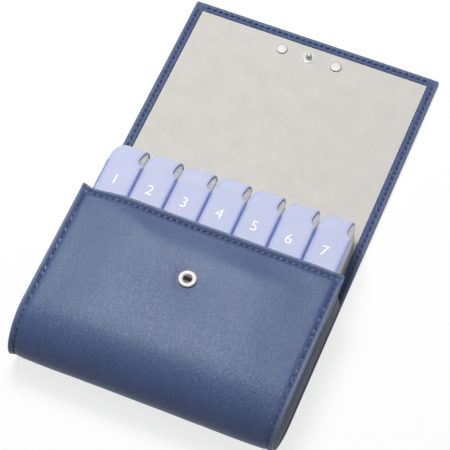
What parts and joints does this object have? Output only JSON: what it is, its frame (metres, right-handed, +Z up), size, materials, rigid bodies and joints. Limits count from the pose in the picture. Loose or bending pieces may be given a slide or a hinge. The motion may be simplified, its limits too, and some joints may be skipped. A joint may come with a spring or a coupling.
{
  "type": "weekly pill box",
  "caption": "Soft leather-look wallet with a fold-over press-stud flap, holding a row of slide-out day boxes with sliding frosted covers.",
  "frame": {"origin": "on the outer face of the back panel, at mid width, level with the pouch's mouth", "axes": "+X across the wallet to the right, +Y from the mouth towards the end of the open flap, +Z up from the surface the wallet lies on"},
  "size_m": [0.15, 0.2495, 0.0364],
  "materials": {
    "navy_leather": "grained navy leather-look sheet, satin",
    "gusset_leather": "same sheet, folded inwards, satin",
    "suede": "pale warm grey suede-like cloth, matt",
    "card": "grey board, hidden",
    "stud_metal": "nickel-plated, bright",
    "plate_metal": "brushed, bare",
    "clear_washer": "clear soft plastic",
    "clear_case": "clear pale blue moulded plastic, gloss",
    "frosted_cover": "frosted pale blue moulded plastic"
  },
  "bodies": {
    "wallet": {"outer_leather": "navy_leather", "front_board": "card", "back_board": "card", "pouch_lining": "suede", "left_gusset": "gusset_leather", "right_gusset": "gusset_leather", "snap_socket": "stud_metal", "snap_eyelet": "stud_metal"},
    "flap_1": {"flap_leather_1": "navy_leather", "flap_lining_1": "suede"},
    "flap_2": {"flap_leather_2": "navy_leather", "flap_lining_2": "suede"},
    "flap_3": {"flap_leather_3": "navy_leather", "flap_lining_3": "suede", "closure_plate": "plate_metal", "rivet_left": "stud_metal", "rivet_right": "stud_metal", "snap_stud": "stud_metal", "stud_washer": "clear_washer"},
    "day_box_1": {"day_case_1": "clear_case"},
    "day_lid_1": {"day_cover_1": "frosted_cover"},
    "day_box_2": {"day_case_2": "clear_case"},
    "day_lid_2": {"day_cover_2": "frosted_cover"},
    "day_box_3": {"day_case_3": "clear_case"},
    "day_lid_3": {"day_cover_3": "frosted_cover"},
    "day_box_4": {"day_case_4": "clear_case"},
    "day_lid_4": {"day_cover_4": "frosted_cover"},
    "day_box_5": {"day_case_5": "clear_case"},
    "day_lid_5": {"day_cover_5": "frosted_cover"},
    "day_box_6": {"day_case_6": "clear_case"},
    "day_lid_6": {"day_cover_6": "frosted_cover"},
    "day_box_7": {"day_case_7": "clear_case"},
    "day_lid_7": {"day_cover_7": "frosted_cover"}
  },
  "joints": [
    {"name": "flap_fold_1", "type": "hinge", "parent": "wallet", "child": "flap_1", "pos_m": [0, 0.03938, 0.0024], "axis": [-1, 0, 0], "range_deg": [-60, 0]},
    {"name": "flap_fold_2", "type": "hinge", "parent": "flap_1", "child": "flap_2", "pos_m": [0, 0.05184, 0.0024], "axis": [-1, 0, 0], "range_deg": [-60, 0]},
    {"name": "flap_fold_3", "type": "hinge", "parent": "flap_2", "child": "flap_3", "pos_m": [0, 0.07934, 0.0024], "axis": [-1, 0, 0], "range_deg": [-60, 0]},
    {"name": "day_box_1_pull", "type": "slide", "parent": "wallet", "child": "day_box_1", "axis": [0, 1, 0], "range_m": [-0.00129, 0.08671]},
    {"name": "day_lid_1_slide", "type": "slide", "parent": "day_box_1", "child": "day_lid_1", "axis": [0, 1, 0], "range_m": [0, 0.085]},
    {"name": "day_box_2_pull", "type": "slide", "parent": "wallet", "child": "day_box_2", "axis": [0, 1, 0], "range_m": [-0.0019, 0.0861]},
    {"name": "day_lid_2_slide", "type": "slide", "parent": "day_box_2", "child": "day_lid_2", "axis": [0, 1, 0], "range_m": [0, 0.085]},
    {"name": "day_box_3_pull", "type": "slide", "parent": "wallet", "child": "day_box_3", "axis": [0, 1, 0], "range_m": [-0.0019, 0.0861]},
    {"name": "day_lid_3_slide", "type": "slide", "parent": "day_box_3", "child": "day_lid_3", "axis": [0, 1, 0], "range_m": [0, 0.085]},
    {"name": "day_box_4_pull", "type": "slide", "parent": "wallet", "child": "day_box_4", "axis": [0, 1, 0], "range_m": [-0.00269, 0.08531]},
    {"name": "day_lid_4_slide", "type": "slide", "parent": "day_box_4", "child": "day_lid_4", "axis": [0, 1, 0], "range_m": [0, 0.085]},
    {"name": "day_box_5_pull", "type": "slide", "parent": "wallet", "child": "day_box_5", "axis": [0, 1, 0], "range_m": [-0.00269, 0.08531]},
    {"name": "day_lid_5_slide", "type": "slide", "parent": "day_box_5", "child": "day_lid_5", "axis": [0, 1, 0], "range_m": [0, 0.085]},
    {"name": "day_box_6_pull", "type": "slide", "parent": "wallet", "child": "day_box_6", "axis": [0, 1, 0], "range_m": [-0.00241, 0.08559]},
    {"name": "day_lid_6_slide", "type": "slide", "parent": "day_box_6", "child": "day_lid_6", "axis": [0, 1, 0], "range_m": [0, 0.085]},
    {"name": "day_box_7_pull", "type": "slide", "parent": "wallet", "child": "day_box_7", "axis": [0, 1, 0], "range_m": [-0.0028, 0.0852]},
    {"name": "day_lid_7_slide", "type": "slide", "parent": "day_box_7", "child": "day_lid_7", "axis": [0, 1, 0], "range_m": [0, 0.085]}
  ],
  "couplings": [
    {"joint": "flap_fold_2", "follows": "flap_fold_1", "ratio": 1},
    {"joint": "flap_fold_3", "follows": "flap_fold_1", "ratio": 1}
  ]
}
